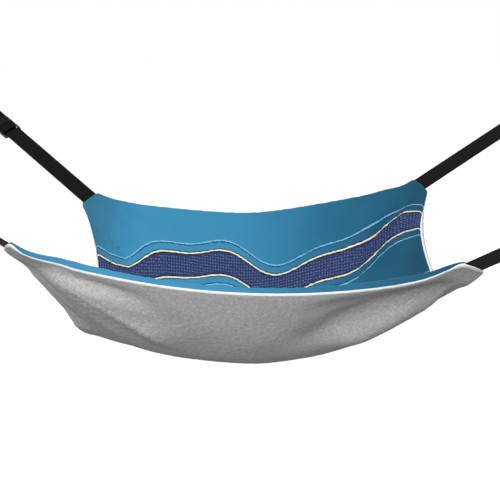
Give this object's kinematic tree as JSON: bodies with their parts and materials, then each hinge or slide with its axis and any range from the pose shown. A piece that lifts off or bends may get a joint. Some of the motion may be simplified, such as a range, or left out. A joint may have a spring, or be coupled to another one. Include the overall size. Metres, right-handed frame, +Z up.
{
  "type": "cat hammock",
  "caption": "Padded cloth hammock bed for a cat, hung at its corners by adjustable webbing straps with plastic sliders and swivel snap hooks.",
  "frame": {"origin": "middle of the four snap hooks' centres, the point that the four anchors surround", "axes": "+X to the right along the width, +Y to the back, +Z up; the bed hangs below the origin"},
  "size_m": [0.8444, 0.5854, 0.3418],
  "materials": {
    "printed_cloth": "smooth woven polyester, printed",
    "wadding": "polyester wadding",
    "woven_cloth": "coarse grey and white woven polyester",
    "webbing": "ribbed black webbing",
    "slider_plastic": "moulded black plastic",
    "plated_metal": "nickel plated die-cast metal",
    "spring_steel": "drawn wire"
  },
  "bodies": {
    "bed": {"top_cover": "printed_cloth", "wadding": "wadding", "bottom_cover": "woven_cloth", "strap_root_front_left": "webbing", "strap_root_front_right": "webbing", "strap_root_back_left": "webbing", "strap_root_back_right": "webbing"},
    "front_left_strap": {"strap_run_front_left": "webbing"},
    "front_left_slider": {"slider_front_left": "slider_plastic", "strap_weave_front_left": "webbing"},
    "front_left_loop": {"strap_loop_front_left": "webbing"},
    "front_left_eye": {"eye_front_left": "plated_metal"},
    "front_left_snap": {"snap_front_left": "plated_metal", "spring_front_left": "spring_steel"},
    "front_left_bolt": {"bolt_front_left": "plated_metal"},
    "front_right_strap": {"strap_run_front_right": "webbing"},
    "front_right_slider": {"slider_front_right": "slider_plastic", "strap_weave_front_right": "webbing"},
    "front_right_loop": {"strap_loop_front_right": "webbing"},
    "front_right_eye": {"eye_front_right": "plated_metal"},
    "front_right_snap": {"snap_front_right": "plated_metal", "spring_front_right": "spring_steel"},
    "front_right_bolt": {"bolt_front_right": "plated_metal"},
    "back_left_strap": {"strap_run_back_left": "webbing"},
    "back_left_slider": {"slider_back_left": "slider_plastic", "strap_weave_back_left": "webbing"},
    "back_left_loop": {"strap_loop_back_left": "webbing"},
    "back_left_eye": {"eye_back_left": "plated_metal"},
    "back_left_snap": {"snap_back_left": "plated_metal", "spring_back_left": "spring_steel"},
    "back_left_bolt": {"bolt_back_left": "plated_metal"},
    "back_right_strap": {"strap_run_back_right": "webbing"},
    "back_right_slider": {"slider_back_right": "slider_plastic", "strap_weave_back_right": "webbing"},
    "back_right_loop": {"strap_loop_back_right": "webbing"},
    "back_right_eye": {"eye_back_right": "plated_metal"},
    "back_right_snap": {"snap_back_right": "plated_metal", "spring_back_right": "spring_steel"},
    "back_right_bolt": {"bolt_back_right": "plated_metal"}
  },
  "joints": [
    {"name": "front_left_strap_swing", "type": "hinge", "parent": "bed", "child": "front_left_strap", "pos_m": [-0.19354, -0.13296, -0.13094], "axis": [0.5042, -0.7832, 0.3639], "range_deg": [-60, 60]},
    {"name": "front_left_slider_slide", "type": "slide", "parent": "front_left_strap", "child": "front_left_slider", "axis": [-0.7612, -0.204, 0.6157], "range_m": [-0.11, 0.06], "deforming": ["strap_run_front_left"]},
    {"name": "front_left_loop_draw", "type": "slide", "parent": "front_left_slider", "child": "front_left_loop", "axis": [-0.7612, -0.204, 0.6157], "range_m": [-0.03, 0.055], "deforming": ["strap_loop_front_left"]},
    {"name": "front_left_eye_flap", "type": "hinge", "parent": "front_left_loop", "child": "front_left_eye", "pos_m": [-0.36373, -0.1782, 0.00749], "axis": [0.5042, -0.7832, 0.3639], "range_deg": [-80, 80]},
    {"name": "front_left_snap_swivel", "type": "hinge", "parent": "front_left_eye", "child": "front_left_snap", "pos_m": [-0.37248, -0.18055, 0.01457], "axis": [-0.7612, -0.204, 0.6157], "continuous": true},
    {"name": "front_left_bolt_draw", "type": "slide", "parent": "front_left_snap", "child": "front_left_bolt", "axis": [-0.7612, -0.204, 0.6157], "range_m": [-0.007, 0], "stiffness_N_per_m": 300, "springref_m": 0.006, "deforming": ["spring_front_left"]},
    {"name": "front_right_strap_swing", "type": "hinge", "parent": "bed", "child": "front_right_strap", "pos_m": [0.20647, -0.13361, -0.15509], "axis": [0.8183, 0.4168, -0.3958], "range_deg": [-60, 60]},
    {"name": "front_right_slider_slide", "type": "slide", "parent": "front_right_strap", "child": "front_right_slider", "axis": [0.5736, -0.637, 0.515], "range_m": [-0.11, 0.06], "deforming": ["strap_run_front_right"]},
    {"name": "front_right_loop_draw", "type": "slide", "parent": "front_right_slider", "child": "front_right_loop", "axis": [0.5736, -0.637, 0.515], "range_m": [-0.03, 0.055], "deforming": ["strap_loop_front_right"]},
    {"name": "front_right_eye_flap", "type": "hinge", "parent": "front_right_loop", "child": "front_right_eye", "pos_m": [0.33497, -0.27581, -0.03915], "axis": [0.8183, 0.4168, -0.3958], "range_deg": [-80, 80]},
    {"name": "front_right_snap_swivel", "type": "hinge", "parent": "front_right_eye", "child": "front_right_snap", "pos_m": [0.34157, -0.28313, -0.03323], "axis": [0.5736, -0.637, 0.515], "continuous": true},
    {"name": "front_right_bolt_draw", "type": "slide", "parent": "front_right_snap", "child": "front_right_bolt", "axis": [0.5736, -0.637, 0.515], "range_m": [-0.007, 0], "stiffness_N_per_m": 300, "springref_m": 0.006, "deforming": ["spring_front_right"]},
    {"name": "back_left_strap_swing", "type": "hinge", "parent": "bed", "child": "back_left_strap", "pos_m": [-0.19351, 0.14799, -0.14359], "axis": [-0.6495, -0.6493, -0.3958], "range_deg": [-60, 60]},
    {"name": "back_left_slider_slide", "type": "slide", "parent": "back_left_strap", "child": "back_left_slider", "axis": [-0.7423, 0.4286, 0.515], "range_m": [-0.11, 0.06], "deforming": ["strap_run_back_left"]},
    {"name": "back_left_loop_draw", "type": "slide", "parent": "back_left_slider", "child": "back_left_loop", "axis": [-0.7423, 0.4286, 0.515], "range_m": [-0.03, 0.055], "deforming": ["strap_loop_back_left"]},
    {"name": "back_left_eye_flap", "type": "hinge", "parent": "back_left_loop", "child": "back_left_eye", "pos_m": [-0.35966, 0.24352, -0.02765], "axis": [-0.6495, -0.6493, -0.3958], "range_deg": [-80, 80]},
    {"name": "back_left_snap_swivel", "type": "hinge", "parent": "back_left_eye", "child": "back_left_snap", "pos_m": [-0.3682, 0.24845, -0.02173], "axis": [-0.7423, 0.4286, 0.515], "continuous": true},
    {"name": "back_left_bolt_draw", "type": "slide", "parent": "back_left_snap", "child": "back_left_bolt", "axis": [-0.7423, 0.4286, 0.515], "range_m": [-0.007, 0], "stiffness_N_per_m": 300, "springref_m": 0.006, "deforming": ["spring_back_left"]},
    {"name": "back_right_strap_swing", "type": "hinge", "parent": "bed", "child": "back_right_strap", "pos_m": [0.20685, 0.1478, -0.13316], "axis": [-0.5071, 0.7594, 0.4077], "range_deg": [-60, 60]},
    {"name": "back_right_slider_slide", "type": "slide", "parent": "back_right_strap", "child": "back_right_slider", "axis": [0.8297, 0.302, 0.4695], "range_m": [-0.11, 0.06], "deforming": ["strap_run_back_right"]},
    {"name": "back_right_loop_draw", "type": "slide", "parent": "back_right_slider", "child": "back_right_loop", "axis": [0.8297, 0.302, 0.4695], "range_m": [-0.03, 0.055], "deforming": ["strap_loop_back_right"]},
    {"name": "back_right_eye_flap", "type": "hinge", "parent": "back_right_loop", "child": "back_right_eye", "pos_m": [0.39253, 0.21501, -0.02741], "axis": [-0.5071, 0.7594, 0.4077], "range_deg": [-80, 80]},
    {"name": "back_right_snap_swivel", "type": "hinge", "parent": "back_right_eye", "child": "back_right_snap", "pos_m": [0.40207, 0.21849, -0.02201], "axis": [0.8297, 0.302, 0.4695], "continuous": true},
    {"name": "back_right_bolt_draw", "type": "slide", "parent": "back_right_snap", "child": "back_right_bolt", "axis": [0.8297, 0.302, 0.4695], "range_m": [-0.007, 0], "stiffness_N_per_m": 300, "springref_m": 0.006, "deforming": ["spring_back_right"]}
  ],
  "couplings": [
    {"joint": "front_left_loop_draw", "follows": "front_left_slider_slide", "ratio": -0.5},
    {"joint": "front_right_loop_draw", "follows": "front_right_slider_slide", "ratio": -0.5},
    {"joint": "back_left_loop_draw", "follows": "back_left_slider_slide", "ratio": -0.5},
    {"joint": "back_right_loop_draw", "follows": "back_right_slider_slide", "ratio": -0.5}
  ]
}
